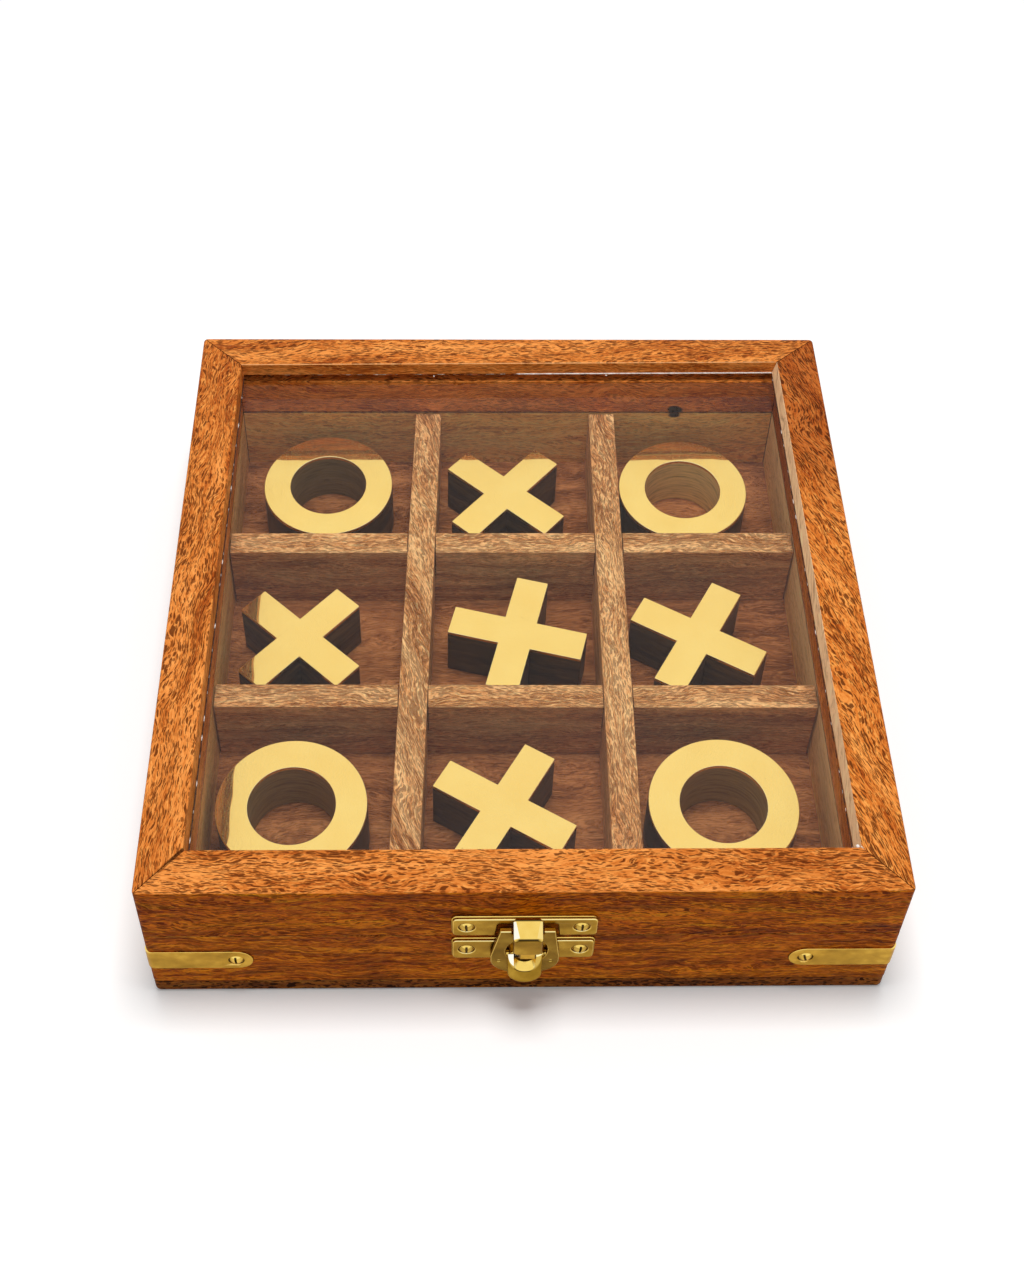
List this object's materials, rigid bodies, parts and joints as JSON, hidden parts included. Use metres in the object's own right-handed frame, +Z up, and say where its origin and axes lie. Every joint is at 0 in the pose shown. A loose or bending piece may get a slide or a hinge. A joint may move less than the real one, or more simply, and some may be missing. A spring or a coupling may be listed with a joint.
{
  "type": "tic-tac-toe box",
  "caption": "Square wooden noughts-and-crosses box: hinged glass lid, sprung brass latch, corner straps, and brass-faced rings and crosses in a grid of cells.",
  "frame": {"origin": "the middle of the box's underside, on the table", "axes": "+X to the right seen from the latch, +Y from the latch towards the hinges, +Z up"},
  "size_m": [0.18, 0.1881, 0.0476],
  "materials": {
    "lid_wood": "oiled, warm orange brown, open grain",
    "base_wood": "oiled, red brown, open grain",
    "panel_wood": "oiled, dark brown",
    "grid_wood": "oiled, tan with dark flecks",
    "piece_wood": "oiled, near black brown",
    "polished_brass": "mirror polished",
    "satin_brass": "satin",
    "glass": "clear",
    "steel": "satin"
  },
  "bodies": {
    "base": {"bottom_panel": "panel_wood", "base_front_wall": "base_wood", "base_back_wall": "base_wood", "base_left_wall": "base_wood", "base_right_wall": "base_wood", "long_divider_left": "grid_wood", "long_divider_right": "grid_wood", "cross_divider_front": "grid_wood", "cross_divider_back": "grid_wood", "lever_plate": "satin_brass", "lever_plate_screws": "satin_brass", "latch_pin": "steel", "latch_spring": "steel", "corner_strap_front_left": "satin_brass", "corner_strap_front_right": "satin_brass", "corner_strap_back_left": "satin_brass", "corner_strap_back_right": "satin_brass", "corner_screws": "satin_brass", "hinge_left_base_leaf": "satin_brass", "hinge_left_pin": "satin_brass", "hinge_right_base_leaf": "satin_brass", "hinge_right_pin": "satin_brass", "hinge_base_screws": "satin_brass"},
    "lid": {"lid_front_rail": "lid_wood", "lid_back_rail": "lid_wood", "lid_left_rail": "lid_wood", "lid_right_rail": "lid_wood", "glass_pane": "glass", "catch_plate": "satin_brass", "catch_screws": "satin_brass", "hinge_left_lid_leaf": "satin_brass", "hinge_right_lid_leaf": "satin_brass", "hinge_lid_screws": "satin_brass"},
    "latch": {"latch_lever": "satin_brass"},
    "ring_back_left": {"ring_back_left_body": "piece_wood", "ring_back_left_face": "polished_brass"},
    "ring_back_right": {"ring_back_right_body": "piece_wood", "ring_back_right_face": "polished_brass"},
    "ring_front_left": {"ring_front_left_body": "piece_wood", "ring_front_left_face": "polished_brass"},
    "ring_front_right": {"ring_front_right_body": "piece_wood", "ring_front_right_face": "polished_brass"},
    "cross_back": {"cross_back_body": "piece_wood", "cross_back_face": "polished_brass"},
    "cross_left": {"cross_left_body": "piece_wood", "cross_left_face": "polished_brass"},
    "cross_centre": {"cross_centre_body": "piece_wood", "cross_centre_face": "polished_brass"},
    "cross_right": {"cross_right_body": "piece_wood", "cross_right_face": "polished_brass"},
    "cross_front": {"cross_front_body": "piece_wood", "cross_front_face": "polished_brass"}
  },
  "joints": [
    {"name": "lid_hinge", "type": "hinge", "parent": "base", "child": "lid", "pos_m": [0, 0.091, 0.02735], "axis": [-1, 0, 0], "range_deg": [0, 182]},
    {"name": "latch_pivot", "type": "hinge", "parent": "base", "child": "latch", "pos_m": [0.0009, -0.09105, 0.02255], "axis": [-1, 0, 0], "range_deg": [0, 7], "stiffness_Nm_per_rad": 0.02, "springref_deg": -20.05},
    {"name": "ring_back_left_lift", "type": "slide", "parent": "base", "child": "ring_back_left", "axis": [0, 0, 1], "range_m": [0, 0.017]},
    {"name": "ring_back_right_lift", "type": "slide", "parent": "base", "child": "ring_back_right", "axis": [0, 0, 1], "range_m": [0, 0.017]},
    {"name": "ring_front_left_lift", "type": "slide", "parent": "base", "child": "ring_front_left", "axis": [0, 0, 1], "range_m": [0, 0.017]},
    {"name": "ring_front_right_lift", "type": "slide", "parent": "base", "child": "ring_front_right", "axis": [0, 0, 1], "range_m": [0, 0.017]},
    {"name": "cross_back_lift", "type": "slide", "parent": "base", "child": "cross_back", "axis": [0, 0, 1], "range_m": [0, 0.017]},
    {"name": "cross_left_lift", "type": "slide", "parent": "base", "child": "cross_left", "axis": [0, 0, 1], "range_m": [0, 0.017]},
    {"name": "cross_centre_lift", "type": "slide", "parent": "base", "child": "cross_centre", "axis": [0, 0, 1], "range_m": [0, 0.017]},
    {"name": "cross_right_lift", "type": "slide", "parent": "base", "child": "cross_right", "axis": [0, 0, 1], "range_m": [0, 0.017]},
    {"name": "cross_front_lift", "type": "slide", "parent": "base", "child": "cross_front", "axis": [0, 0, 1], "range_m": [0, 0.017]}
  ]
}
